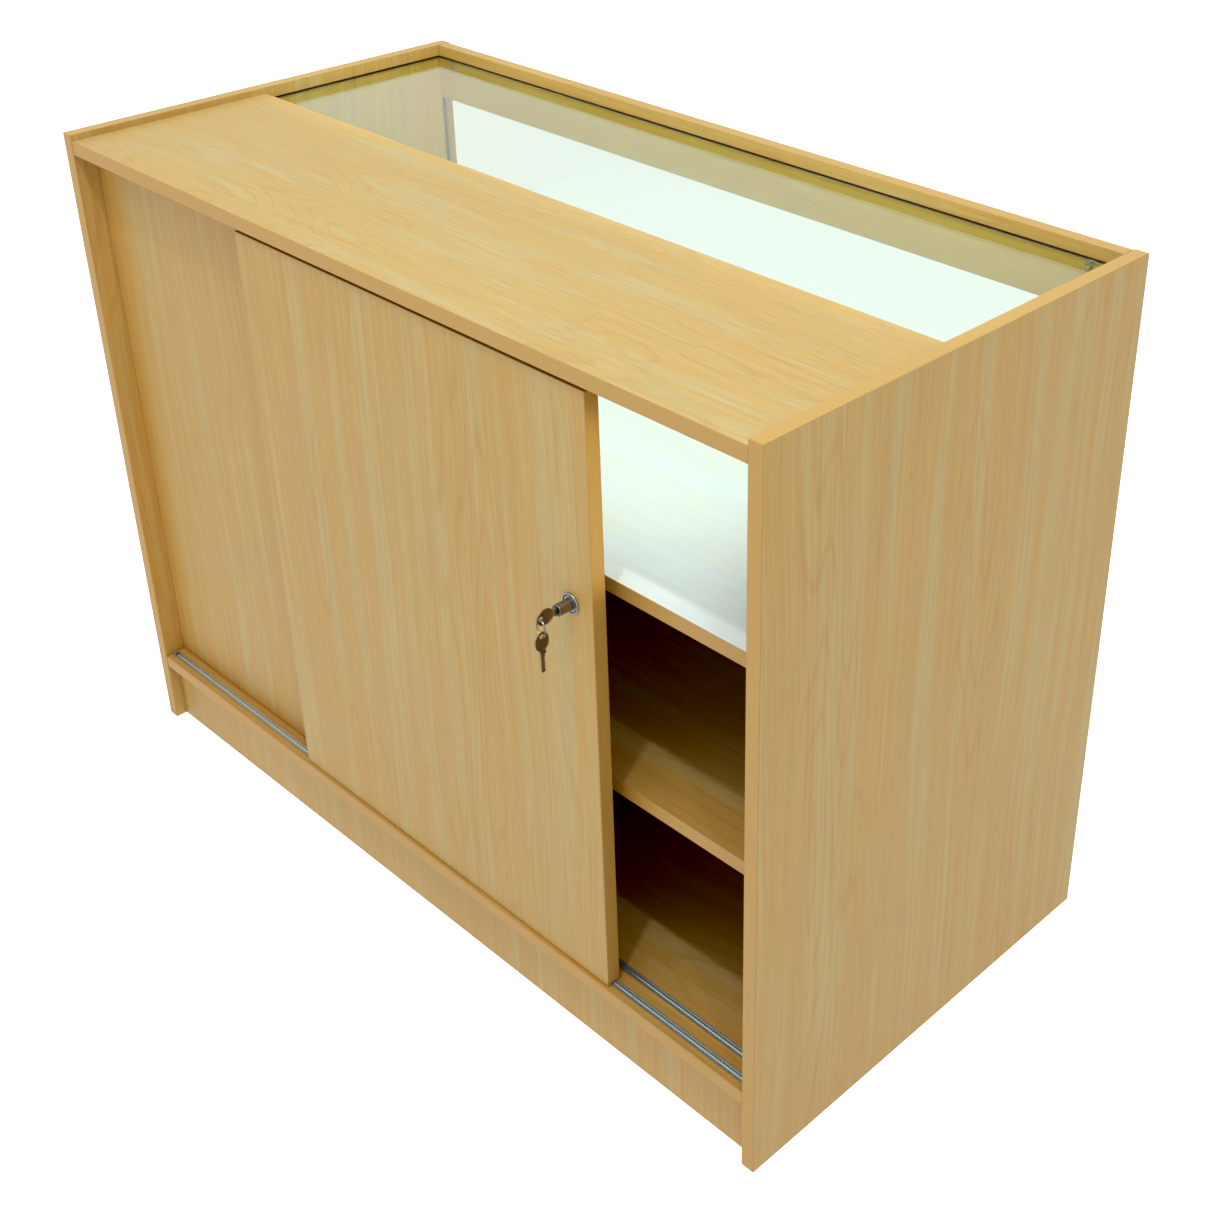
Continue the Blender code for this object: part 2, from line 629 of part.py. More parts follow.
def add_roller(prefix, x, y, slide, made_of):
    """A grooved wheel on its axle in a housing let into the door's bottom edge."""
    length, width, height = HOUSING_SIZE
    floor = housing_floor()
    builder = bmesh.new()
    add_box(builder, (x - length / 2, y - width / 2, floor), (x + length / 2, y + width / 2, floor + height))
    housing = add_object(
        f"{prefix}_roller_housing", builder, made_of["white_plastic"], (x, y, ROLLER_Z), slide
    )
    tools = bmesh.new()
    add_box(
        tools, (x - length / 2 + HOUSING_WALL, y - width / 2 + HOUSING_WALL, floor - 0.01),
        (x + length / 2 - HOUSING_WALL, y + width / 2 - HOUSING_WALL, floor + height - HOUSING_WALL),
    )
    axle_hole = bmesh.new()
    add_rod(axle_hole, (x, y - width, ROLLER_Z), (x, y + width, ROLLER_Z), AXLE_RADIUS + GAP, 12)
    boolean(housing, tools)
    boolean(housing, axle_hole)
    axle = bmesh.new()
    reach = width / 2 - GAP
    add_rod(axle, (x, y - reach, ROLLER_Z), (x, y + reach, ROLLER_Z), AXLE_RADIUS)
    add_object(f"{prefix}_roller_axle", axle, made_of["steel"], (x, y, ROLLER_Z), slide)
    half, groove = ROLLER_WIDTH / 2, ROLLER_GROOVE_WIDTH / 2
    bore = AXLE_RADIUS + GAP
    profile = [
        (bore, -half), (ROLLER_FLANGE_RADIUS, -half), (ROLLER_FLANGE_RADIUS, -groove - 0.0003),
        (ROLLER_TREAD_RADIUS, -groove), (ROLLER_TREAD_RADIUS, groove),
        (ROLLER_FLANGE_RADIUS, groove + 0.0003), (ROLLER_FLANGE_RADIUS, half), (bore, half),
    ]
    spin = add_axis(f"{prefix}_wheel_spin", (x, y, ROLLER_Z), slide)
    wheel = bmesh.new()
    add_turned(wheel, profile, along_y(x, ROLLER_Z, y), 24)
    add_object(f"{prefix}_wheel", wheel, made_of["white_plastic"], (x, y, ROLLER_Z), spin)


def add_top_guide(name, x, y, slide, made_of):
    tip = GUIDE_PIN_REACH
    profile = [
        (0, -GUIDE_BODY_LENGTH), (GUIDE_BODY_RADIUS, -GUIDE_BODY_LENGTH), (GUIDE_BODY_RADIUS, 0),
        (GUIDE_PIN_RADIUS, 0), (GUIDE_PIN_RADIUS, tip - 0.001), (GUIDE_PIN_RADIUS * 0.7, tip), (0, tip),
    ]
    builder = bmesh.new()
    add_turned(builder, profile, Matrix.Translation((x, y, DOOR_TOP)), 20)
    add_object(name, builder, made_of, (x, y, DOOR_TOP), slide)


def add_lock(slide, made_of):
    """The push lock: fixed housing and nut, and the barrel, bolt, core and keys that move."""
    chrome, steel = made_of["chrome"], made_of["steel"]
    rear = OUTER_DOOR_BACK + HOUSING_BACK
    flange_back = OUTER_DOOR_FRONT - GAP
    flange_front = flange_back - FLANGE_THICKNESS
    bore = BARREL_RADIUS + GAP
    profile = [
        (bore, flange_front + FLANGE_RECESS), (FLANGE_RADIUS - FLANGE_RIM, flange_front + FLANGE_RECESS),
        (FLANGE_RADIUS - FLANGE_RIM * 0.75, flange_front),
        (FLANGE_RADIUS - FLANGE_RIM * 0.25, flange_front),
        (FLANGE_RADIUS, flange_back - FLANGE_THICKNESS * 0.5), (FLANGE_RADIUS, flange_back),
        (HOUSING_TUBE_RADIUS, flange_back), (HOUSING_TUBE_RADIUS, rear),
        (BOLT_RADIUS + GAP, rear), (BOLT_RADIUS + GAP, rear - HOUSING_BACK), (bore, rear - HOUSING_BACK),
    ]
    builder = bmesh.new()
    add_turned(builder, profile, along_y(LOCK_X, LOCK_Z))
    add_object("lock_housing", builder, chrome, (LOCK_X, OUTER_DOOR_Y, LOCK_Z), slide)

    nut_front = OUTER_DOOR_BACK + GAP
    inner = HOUSING_TUBE_RADIUS + GAP
    profile = [
        (inner, nut_front), (NUT_RADIUS, nut_front), (NUT_RADIUS, nut_front + NUT_THICKNESS),
        (inner, nut_front + NUT_THICKNESS),
    ]
    builder = bmesh.new()
    add_turned(builder, profile, along_y(LOCK_X, LOCK_Z))
    add_object("lock_nut", builder, steel, (LOCK_X, nut_front, LOCK_Z), slide)

    push = add_axis("lock_push", (LOCK_X, BARREL_FRONT, LOCK_Z), slide)
    bottom = BARREL_REAR - BARREL_BACK
    rounding = 0.0006
    profile = [
        (0, bottom), (BARREL_BORE_RADIUS, bottom), (BARREL_BORE_RADIUS, BARREL_FRONT + rounding),
        (BARREL_BORE_RADIUS + rounding, BARREL_FRONT), (BARREL_RADIUS - rounding, BARREL_FRONT),
        (BARREL_RADIUS, BARREL_FRONT + rounding), (BARREL_RADIUS, BARREL_REAR), (0, BARREL_REAR),
    ]
    builder = bmesh.new()
    add_turned(builder, profile, along_y(LOCK_X, LOCK_Z))
    add_object("lock_barrel", builder, chrome, (LOCK_X, BARREL_FRONT, LOCK_Z), push)

    bolt_start, bolt_end = BARREL_REAR + GAP, rear - 0.0005
    profile = [
        (0, bolt_start), (BOLT_RADIUS, bolt_start), (BOLT_RADIUS, bolt_end - 0.001),
        (BOLT_RADIUS - 0.001, bolt_end), (0, bolt_end),
    ]
    builder = bmesh.new()
    add_turned(builder, profile, along_y(LOCK_X, LOCK_Z), 24)
    add_object("lock_bolt", builder, steel, (LOCK_X, bolt_start, LOCK_Z), push)

    turn = add_axis("key_turn", (LOCK_X, BARREL_FRONT, LOCK_Z), push)
    core_front, core_rear = BARREL_FRONT + 0.0013, bottom - GAP
    builder = bmesh.new()
    add_rod(
        builder, (LOCK_X, core_front, LOCK_Z), (LOCK_X, core_rear, LOCK_Z),
        BARREL_BORE_RADIUS - GAP, 28,
    )
    core = add_object("lock_core", builder, steel, (LOCK_X, core_front, LOCK_Z), turn)
    half_x = KEY_THICKNESS / 2 + KEYWAY_CLEARANCE
    half_z = KEY_BLADE_WIDTH / 2 + KEYWAY_CLEARANCE
    tools = bmesh.new()
    add_box(
        tools, (LOCK_X - half_x, core_front - 0.01, LOCK_Z - half_z),
        (LOCK_X + half_x, core_rear + 0.01, LOCK_Z + half_z),
    )
    boolean(core, tools)
    return turn


def key_outline():
    """The key's side view, u along the key from the ring hole and v across it."""
    outline = []
    steps = 32
    for step in range(steps):
        angle = math.tau * (step + 0.5) / steps
        u = KEY_BOW_CENTRE + KEY_BOW_HALF_LENGTH * math.cos(angle)
        v = KEY_BOW_HALF_WIDTH * math.sin(angle)
        if u < KEY_COLLAR[0] - 0.001:
            outline.append((u, v))
    neck = KEY_COLLAR_WIDTH / 2 - 0.0004
    blade = KEY_BLADE_WIDTH / 2
    end = KEY_COLLAR[1] + KEY_BLADE_LENGTH
    upper = [(KEY_COLLAR[0] + 0.001, neck), (KEY_COLLAR[1] - 0.001, neck)]
    lower = [(u, -v) for u, v in reversed(upper)]
    edge = [(KEY_COLLAR[1] - 0.001, blade)]
    bite = 0.0024
    for cut, depth in enumerate((0.0011, 0.0017, 0.0007, 0.0014, 0.0010)):
        u = KEY_COLLAR[1] + 0.0048 + cut * 0.0033
        edge += [(u - bite / 2, blade), (u - 0.0004, blade - depth), (u + 0.0004, blade - depth)]
        edge.append((u + bite / 2, blade))
    edge += [(end - 0.0016, blade), (end, 0.0008), (end, -0.0008), (end - 0.0016, -blade)]
    edge.append((KEY_COLLAR[1] - 0.001, -blade))
    split = next(i for i, (_, v) in enumerate(outline) if v > 0)
    bow = outline[split:] + outline[:split]
    return upper + edge + lower + list(reversed(bow))


def add_key(name, hole, toward, made_of, parent):
    """A flat key in the YZ plane: hole is its ring hole's centre and toward runs along the blade."""
    toward = Vector(toward)
    across = Vector((1, 0, 0)).cross(toward)
    place = Matrix.Translation(hole) @ Matrix(
        (
            (toward.x, across.x, 1, 0), (toward.y, across.y, 0, 0),
            (toward.z, across.z, 0, 0), (0, 0, 0, 1),
        )
    )
    centred = place @ Matrix.Translation((0, 0, -KEY_THICKNESS / 2))
    builder = bmesh.new()
    add_extruded(builder, key_outline(), centred, KEY_THICKNESS)
    key = add_object(name, builder, made_of, hole, parent)
    half = KEY_COLLAR_WIDTH / 2
    start, end = KEY_COLLAR
    collar = bmesh.new()
    outline = [(start, -half), (end, -half), (end, half), (start, half)]
    lift = Matrix.Translation((0, 0, -KEY_COLLAR_THICKNESS / 2))
    add_extruded(collar, outline, place @ lift, KEY_COLLAR_THICKNESS)
    boolean(key, collar, "UNION")
    tools = bmesh.new()
    side = Vector((KEY_THICKNESS, 0, 0))
    add_rod(tools, Vector(hole) - side, Vector(hole) + side, KEY_HOLE_RADIUS, 20)
    boolean(key, tools)
    return key


def add_keys(turn, made_of):
    metal = made_of["key_metal"]
    key_hole = Vector((LOCK_X, BARREL_FRONT - GAP - KEY_COLLAR[1], LOCK_Z))
    add_key("key_in_lock", key_hole, (0, 1, 0), metal, turn)

    ring_top = key_hole - Vector((0, 0, RING_OFFSET))
    swing = add_axis("key_ring_swing", key_hole, turn)
    ring_centre = ring_top - Vector((0, 0, RING_RADIUS))
    profile = []
    for step in range(8):
        angle = math.tau * step / 8
        radius = RING_RADIUS + RING_WIRE_RADIUS * math.cos(angle)
        profile.append((radius, RING_WIRE_RADIUS * math.sin(angle)))
    place = Matrix.Translation(ring_centre) @ Matrix.Rotation(RING_YAW, 4, "Z")
    place = place @ Matrix.Rotation(-math.pi / 2, 4, "X")
    builder = bmesh.new()
    add_turned(builder, profile, place, 40)
    add_object("key_ring", builder, made_of["steel"], key_hole, swing)

    ring_bottom = ring_centre - Vector((0, 0, RING_RADIUS))
    hang = add_axis("spare_key_swing", ring_bottom, swing)
    spare_hole = ring_bottom - Vector((0, 0, RING_OFFSET))
    add_key("spare_key", spare_hole, (0, 0, -1), metal, hang)


def main():
    clear_scene()
    made_of = make_materials()
    add_end_panels(made_of["maple"])
    add_base(made_of["maple"])
    add_shelves(made_of["maple"])
    add_shelf_pins(made_of["steel"])
    add_customer_side(made_of["maple"])
    add_timber_top(made_of["maple_top"])
    add_dowels(made_of["beech"])
    add_glass(made_of["glass"])
    add_glass_supports(made_of["clear_plastic"], made_of["steel"])
    add_bottom_tracks(made_of["aluminium"])
    add_top_guide_track(made_of["brown_plastic"])
    lock_hole = (LOCK_X, LOCK_Z, HOUSING_TUBE_RADIUS + GAP)
    strike_hole = (STRIKE_X, LOCK_Z, STRIKE_RADIUS)
    slide = add_door("outer_door", OUTER_DOOR_REST_X, OUTER_DOOR_Y, [lock_hole], made_of)
    add_door("inner_door", INNER_DOOR_REST_X, INNER_DOOR_Y, [strike_hole], made_of)
    turn = add_lock(slide, made_of)
    add_keys(turn, made_of)


main()
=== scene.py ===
"""Looks for the shop display counter: maple laminate boards, glass, running gear, push lock and keys.

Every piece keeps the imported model's place and rides on one of its bodies. Units are metres, +Z is up,
the staff side with the sliding doors faces -Y and the customers' window faces +Y.
"""

import math

import bmesh
import bpy
from mathutils import Matrix, Vector

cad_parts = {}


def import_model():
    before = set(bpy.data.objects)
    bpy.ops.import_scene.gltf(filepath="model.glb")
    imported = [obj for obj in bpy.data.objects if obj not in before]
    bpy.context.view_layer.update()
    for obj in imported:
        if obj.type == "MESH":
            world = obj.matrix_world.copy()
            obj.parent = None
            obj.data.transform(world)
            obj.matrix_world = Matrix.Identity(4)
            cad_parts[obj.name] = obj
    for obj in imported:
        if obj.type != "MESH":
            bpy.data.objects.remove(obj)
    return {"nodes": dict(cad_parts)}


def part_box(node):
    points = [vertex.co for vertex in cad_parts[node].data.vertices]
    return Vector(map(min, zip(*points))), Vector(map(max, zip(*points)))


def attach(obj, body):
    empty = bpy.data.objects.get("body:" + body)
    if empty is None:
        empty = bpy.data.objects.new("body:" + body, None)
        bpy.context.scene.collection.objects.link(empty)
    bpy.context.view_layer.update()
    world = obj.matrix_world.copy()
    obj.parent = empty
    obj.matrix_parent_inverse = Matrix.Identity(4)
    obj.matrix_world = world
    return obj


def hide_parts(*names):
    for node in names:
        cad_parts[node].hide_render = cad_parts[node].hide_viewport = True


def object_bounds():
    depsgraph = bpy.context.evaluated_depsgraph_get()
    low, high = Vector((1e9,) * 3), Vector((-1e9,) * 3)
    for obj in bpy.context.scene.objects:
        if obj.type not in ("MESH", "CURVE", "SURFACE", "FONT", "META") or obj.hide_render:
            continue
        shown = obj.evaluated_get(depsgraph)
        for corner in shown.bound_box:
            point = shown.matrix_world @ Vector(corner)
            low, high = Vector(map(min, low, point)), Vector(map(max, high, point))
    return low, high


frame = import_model()
cad_low, cad_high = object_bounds()

AXES = {"X": 0, "Y": 1, "Z": 2}
GAP = 0.0003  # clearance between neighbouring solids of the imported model


def srgb(red, green, blue):
    """A display colour, 0 to 255, as linear light."""
    parts = []
    for value in (red, green, blue):
        share = value / 255
        parts.append(share / 12.92 if share <= 0.04045 else ((share + 0.055) / 1.055) ** 2.4)
    return (*parts, 1.0)


class Shader:
    """A material under construction. Methods return sockets, so one can feed the next."""

    def __init__(self, name):
        self.material = bpy.data.materials.new(name)
        self.material.use_nodes = True
        self.tree = self.material.node_tree
        self.surface = self.tree.nodes["Principled BSDF"]
        self.output = self.tree.nodes["Material Output"]

    def feed(self, socket, value):
        if isinstance(value, bpy.types.NodeSocket):
            self.tree.links.new(value, socket)
        else:
            socket.default_value = value

    def add(self, kind, inputs=(), **settings):
        node = self.tree.nodes.new(kind)
        for key, value in settings.items():
            setattr(node, key, value)
        for key, value in dict(inputs).items():
            self.feed(node.inputs[key], value)
        return node

    def math(self, operation, *values):
        return self.add("ShaderNodeMath", enumerate(values), operation=operation).outputs[0]

    def place(self):
        return self.add("ShaderNodeTexCoord").outputs["Object"]

    def normal(self):
        return self.axes(self.add("ShaderNodeTexCoord").outputs["Normal"])

    def axes(self, vector):
        return self.add("ShaderNodeSeparateXYZ", {0: vector}).outputs

    def vector(self, x, y, z):
        return self.add("ShaderNodeCombineXYZ", enumerate((x, y, z))).outputs[0]

    def scaled(self, rates):
        """The place on the part, with each axis multiplied by its own rate."""
        parts = zip(self.axes(self.place()), rates)
        return self.vector(*(self.math("MULTIPLY", part, rate) for part, rate in parts))

    def noise(self, vector, scale=1.0, detail=2.0, roughness=0.5):
        inputs = {"Vector": vector, "Scale": scale, "Detail": detail, "Roughness": roughness}
        return self.add("ShaderNodeTexNoise", inputs).outputs["Fac"]

    def spread(self, value, low, high, to_low=0.0, to_high=1.0):
        """value with low..high spread over to_low..to_high, clamped."""
        node = self.add("ShaderNodeMapRange", enumerate((value, low, high, to_low, to_high)), clamp=True)
        return node.outputs[0]

    def weighted(self, first, share, second):
        """The sum of first times share and second times the rest."""
        parts = self.math("MULTIPLY", first, share), self.math("MULTIPLY", second, 1 - share)
        return self.math("ADD", *parts)

    def mix(self, share, first, second, blend="MIX"):
        node = self.add("ShaderNodeMix", data_type="RGBA", blend_type=blend, clamp_factor=True)
        for index, value in ((0, share), (6, first), (7, second)):
            self.feed(node.inputs[index], value)
        return node.outputs[2]

    def shaded(self, colour, shade):
        """colour times a grey value."""
        return self.mix(1.0, colour, self.vector(shade, shade, shade), "MULTIPLY")

    def bump(self, height, distance, strength=1.0):
        inputs = {"Height": height, "Distance": distance, "Strength": strength}
        return self.add("ShaderNodeBump", inputs).outputs[0]

    def finish(self, **sockets):
        for key, value in sockets.items():
            self.feed(self.surface.inputs[key.replace("_", " ").title().replace("Ior", "IOR")], value)
        return self.material


# Laminate. Each print has a pale, a tan, a warm and a dark colour.

MAPLE = (srgb(188, 164, 100), srgb(189, 155, 82), srgb(193, 147, 66), srgb(178, 134, 52))
# A slightly cooler copy of the print for the timber top: the print is the board's own, its cooler tint
# is painted light on the upward face.
TOP_LIT_MAPLE = (srgb(187, 163, 104), srgb(189, 156, 87), srgb(194, 148, 69), srgb(178, 134, 60))
# A warmer, darker copy of the print for the bottom board and the storage shelf: painted shade, standing
# for light bounced inside the compartments.
SHADED_WARM_MAPLE = (srgb(186, 156, 94), srgb(187, 147, 76), srgb(190, 140, 60), srgb(174, 127, 46))
# The display shelf's print is painted near white and cool: a painted highlight, standing for strong
# light falling on the shelf.
OVERLIT_MAPLE = (srgb(228, 242, 246), srgb(228, 240, 238), srgb(232, 240, 226), srgb(224, 232, 216))

# Layers of the figure: rate across the grain, rate along it, place in the noise, detail, roughness.
STRIPE = (38.0, 0.9, 0.0, 3.0, 0.6)
STREAK = (150.0, 3.0, 11.0, 3.0, 0.5)
LINE = (360.0, 3.0, 17.0, 2.0, 0.6)
FINE = (800.0, 12.0, 23.0, 2.0, 0.5)
FIGURE = (15.0, 1.5, 37.0, 4.0, 0.25)
PATCH = (8.0, 1.8, 51.0, 1.0, 0.5)
FLECK = (300.0, 50.0, 67.0, 1.0, 0.5)

# Where in its noise each layer starts and is full.
TAN_CORE = (0.43, 0.47, 0.0, 0.7)
TAN_MARGIN = (0.35, 0.60, 0.0, 0.3)
STREAK_LEVEL = (0.47, 0.68)
RING_LEVEL = (0.66, 1.0)
RING_PATCH = (0.48, 0.62)
FLECK_LEVEL = (0.68, 0.80)
SHADE_LEVEL = (0.36, 0.64)

STREAK_SHARE = 0.60
RING_SHARE = 0.34
FLECK_SHARE = 0.45
SHADE_DEPTH = (0.10, 0.07)  # how far the fine lines darken and lighten the print
RING_COUNT = 80.0
FACE_SHIFT = 7.0  # shift in the noise per metre of thickness, so that a board's two faces differ
SWAY_RATE = (3.0, 1.6)
SWAY_REACH = 0.045
PRINT_ROUGHNESS = (0.36, 0.50)
PRINT_GLOSS = 0.60
PORE_DEPTH = 0.00008
PORE_STRENGTH = 0.35

BAND = srgb(190, 152, 78)
BAND_WARM = srgb(187, 144, 66)
BAND_LINE = srgb(160, 112, 46)
BAND_GRAIN = 90.0
FACE_ON = 0.96  # the normal's share along the board's own axis, from which the print shows
CORNER = (0.6, 0.35)  # the same on a bevel between face and band: middle and reach
CORNER_SHARE = 0.35

# Painted shade: a warm, darker cast painted into the print where surfaces face each other, standing for
# light bounced between the boards, and the heights that it fades between.
PAINTED_BOUNCE_TINT = (1.07, 0.88, 0.60, 1)
PAINTED_BOUNCE_REACH = 0.15
PAINTED_BOUNCE_FULL = 0.3
CLEAR_OF_FLOOR = (0.085, 0.108, 0.45, 1.0)
CLEAR_OF_GLASS = (0.845, 0.875, 1.0, 0.3)


def with_painted_bounce_shade(sh, colour, height):
    """colour with painted warm shade where the board is close to others, standing for light bounced
    between the boards, faded near the floor and the glass.
    """
    reach = {"Distance": PAINTED_BOUNCE_REACH}
    open_sky = sh.add("ShaderNodeAmbientOcclusion", reach, samples=3).outputs["AO"]
    level = sh.math("MULTIPLY", sh.spread(height, *CLEAR_OF_FLOOR), sh.spread(height, *CLEAR_OF_GLASS))
    bounce_shade = sh.math("MULTIPLY", sh.spread(open_sky, 1.0, PAINTED_BOUNCE_FULL), level)
    return sh.mix(bounce_shade, colour, sh.mix(1.0, colour, PAINTED_BOUNCE_TINT, "MULTIPLY"))


def laminate(name, normal, along, seed, print_colours, run, contrast):
    """Printed maple on a board's two faces, and a plain band on its edges.

    normal and along name the axes through the board and along its grain, run is how short the figure
    is along the grain, and contrast is how strongly its lines show.
    """
    sh = Shader(name)
    pale, tan, warm, dark = print_colours
    across = next(a for a in "XYZ" if a not in (normal, along))
    part = sh.axes(sh.place())
    u, v = part[AXES[across]], part[AXES[along]]
    side = sh.math("MULTIPLY_ADD", part[AXES[normal]], FACE_SHIFT, seed)
    sway_at = (sh.math("MULTIPLY", position, rate) for position, rate in zip((u, v), SWAY_RATE))
    sway = sh.noise(sh.vector(*sway_at, side), 1.0, 1.0)
    u = sh.math("MULTIPLY_ADD", sway, SWAY_REACH, u)

    def grain(layer, pace=run):
        across_rate, along_rate, shift, detail, roughness = layer
        where = sh.vector(
            sh.math("MULTIPLY", u, across_rate),
            sh.math("MULTIPLY", v, along_rate * pace),
            sh.math("ADD", side, shift),
        )
        return sh.noise(where, 1.0, detail, roughness)

    stripe, streak, line, fine = grain(STRIPE), grain(STREAK), grain(LINE), grain(FINE)
    rings = sh.math("SINE", sh.math("MULTIPLY", grain(FIGURE), RING_COUNT))
    rings = sh.math("MULTIPLY", sh.spread(rings, *RING_LEVEL), sh.spread(grain(PATCH), *RING_PATCH))
    fleck = sh.spread(grain(FLECK, pace=1.0), *FLECK_LEVEL)

    band = sh.math("ADD", sh.spread(stripe, *TAN_CORE), sh.spread(stripe, *TAN_MARGIN))
    colour = sh.mix(band, pale, tan)
    colour = sh.mix(sh.math("MULTIPLY", sh.spread(streak, *STREAK_LEVEL), STREAK_SHARE), colour, warm)
    colour = sh.mix(sh.math("MULTIPLY", rings, RING_SHARE * contrast), colour, dark)
    colour = sh.mix(sh.math("MULTIPLY", fleck, FLECK_SHARE), colour, dark)
    darker, lighter = (depth * contrast for depth in SHADE_DEPTH)
    shade = sh.spread(sh.weighted(fine, 0.5, line), *SHADE_LEVEL, 1 - darker, 1 + lighter)
    colour = sh.shaded(colour, shade)

    edge_grain = sh.noise(sh.place(), BAND_GRAIN, 3.0)
    edge = sh.mix(sh.math("MULTIPLY", edge_grain, 0.5), BAND, BAND_WARM)
    facing = sh.math("ABSOLUTE", sh.normal()[AXES[normal]])
    corner = sh.math("COMPARE", facing, *CORNER)
    edge = sh.mix(sh.math("MULTIPLY", corner, CORNER_SHARE), edge, BAND_LINE)
    colour = sh.mix(sh.math("GREATER_THAN", facing, FACE_ON), edge, colour)
    # Painted shade: the warm bounce cast in the nooks goes on every print but the display shelf's.
    if print_colours is not OVERLIT_MAPLE:
        colour = with_painted_bounce_shade(sh, colour, height=part[AXES["Z"]])

    return sh.finish(
        base_color=colour,
        roughness=sh.spread(fine, 0.2, 0.8, *PRINT_ROUGHNESS),
        normal=sh.bump(sh.weighted(fine, 0.6, streak), PORE_DEPTH, PORE_STRENGTH),
        specular_ior_level=PRINT_GLOSS,
    )


# Glass, metals and plastics

MIDDLE = (0.3, 0.7)  # where most of a noise's values lie
GLASS_EDGE = (0.020, 0.030, 0.018, 1)
GLASS_SHADOW = (0.66, 0.73, 0.62, 1)
GLASS_FACE_ON = 0.95
GLASS_IOR = 1.42
GLASS_GLOSS = 0.26
GLASS_EDGE_ROUGHNESS = 0.6
FILM_RATE = 9.0
SMEAR_RATE = 60.0
SMEAR_ROUGHNESS = 0.02
SCRATCH_RATE = 900.0
DRAWN_RATE = 6.0
SCRATCH_DEPTH = 0.00002
WEAR_RATE = 120.0
PEBBLE_RATE = 1400.0
PEBBLE_DEPTH = 0.00003
CLOUD_RATE = 60.0
FIBRE_RATES = (60.0, 900.0, 900.0)
FIBRE_DEPTH = 0.0001
BEECH = (srgb(196, 158, 112), srgb(222, 190, 148))


def pane(name, tint_colour):
    """Clear float glass that lets lamps through, with dark, matt green edges."""
    sh = Shader(name)
    _, toward_y, toward_z = sh.normal()
    flat = sh.math("MAXIMUM", sh.math("ABSOLUTE", toward_y), sh.math("ABSOLUTE", toward_z))
    flat = sh.math("GREATER_THAN", flat, GLASS_FACE_ON)
    film = sh.noise(sh.place(), FILM_RATE, 3.0)
    film = sh.math("MULTIPLY", film, sh.noise(sh.place(), SMEAR_RATE, 2.0))
    film = sh.spread(film, 0.2, 0.5, 0.0, SMEAR_ROUGHNESS)
    edge = sh.math("MULTIPLY_ADD", flat, -GLASS_EDGE_ROUGHNESS, GLASS_EDGE_ROUGHNESS)
    sh.finish(
        base_color=sh.mix(flat, GLASS_EDGE, tint_colour),
        roughness=sh.math("MAXIMUM", film, edge),
        transmission_weight=flat,
        ior=GLASS_IOR,
        specular_ior_level=GLASS_GLOSS,
    )
    clear = sh.add("ShaderNodeBsdfTransparent", {"Color": GLASS_SHADOW}).outputs[0]
    through = sh.add("ShaderNodeLightPath").outputs["Is Shadow Ray"]
    blend = sh.add("ShaderNodeMixShader", {0: through, 1: sh.surface.outputs[0], 2: clear})
    sh.tree.links.new(blend.outputs[0], sh.output.inputs["Surface"])
    return sh.material


def metal(name, colour, dark, roughness, wear=0.12, drawn=None):
    """Metal with fine scratches; drawn names the axis that an extrusion's lines run along."""
    sh = Shader(name)
    rates = [SCRATCH_RATE] * 3
    if drawn:
        rates[AXES[drawn]] = DRAWN_RATE
    lines = sh.noise(sh.scaled(rates), 1.0, 2.0)
    cloud = sh.noise(sh.place(), WEAR_RATE, 3.0)
    worn = sh.math("MULTIPLY_ADD", lines, 0.6, sh.math("MULTIPLY", cloud, 0.4))
    return sh.finish(
        base_color=sh.mix(sh.spread(worn, *MIDDLE), (*dark, 1), (*colour, 1)),
        metallic=1.0,
        roughness=sh.spread(worn, *MIDDLE, roughness + wear, roughness),
        normal=sh.bump(lines, SCRATCH_DEPTH, 0.25),
    )


def plastic(name, colour, roughness, see_through=0.0, gloss=0.5):
    """Moulded plastic or rubber with a pebbled skin and a slightly uneven colour."""
    sh = Shader(name)
    pebble = sh.noise(sh.place(), PEBBLE_RATE, 2.0)
    shade = sh.spread(sh.noise(sh.place(), CLOUD_RATE, 2.0), *MIDDLE, 0.92, 1.05)
    return sh.finish(
        base_color=sh.shaded(colour, shade),
        roughness=sh.spread(pebble, *MIDDLE, roughness - 0.06, roughness + 0.08),
        normal=sh.bump(pebble, PEBBLE_DEPTH, 0.3),
        transmission_weight=see_through,
        specular_ior_level=gloss,
    )


def beech(name):
    """Bare beech for the dowels, with fibres along X."""
    sh = Shader(name)
    fibre = sh.noise(sh.scaled(FIBRE_RATES), 1.0, 3.0)
    return sh.finish(
        base_color=sh.mix(sh.spread(fibre, 0.35, 0.65), *BEECH),
        roughness=0.7,
        normal=sh.bump(fibre, FIBRE_DEPTH, 0.4),
    )


# For each board: normal, grain direction, seed, print, run and contrast.
BOARDS = {
    "end_panel_left": ("X", "Z", 1.3, MAPLE, 1.0, 1.0),
    "end_panel_right": ("X", "Z", 4.7, MAPLE, 1.0, 1.0),
    "centre_support": ("X", "Z", 8.1, MAPLE, 1.0, 1.0),
    "bottom_board": ("Z", "X", 11.9, SHADED_WARM_MAPLE, 1.0, 1.0),
    # The display shelf gets the near-white print, a painted highlight.
    "display_shelf": ("Z", "X", 15.2, OVERLIT_MAPLE, 2.4, 0.35),
    "storage_shelf": ("Z", "X", 19.6, SHADED_WARM_MAPLE, 1.0, 1.0),
    "timber_top": ("Z", "X", 23.4, TOP_LIT_MAPLE, 3.0, 1.10),
    "plinth_staff": ("Y", "Z", 27.7, MAPLE, 1.0, 1.0),
    "plinth_customer": ("Y", "Z", 31.1, MAPLE, 1.0, 1.0),
    "front_panel": ("Y", "Z", 35.8, MAPLE, 1.0, 1.0),
    "front_rail": ("Y", "X", 39.5, MAPLE, 1.6, 1.0),
    "outer_door": ("Y", "Z", 43.2, MAPLE, 1.0, 1.0),
    "inner_door": ("Y", "Z", 47.9, MAPLE, 1.0, 1.0),
}

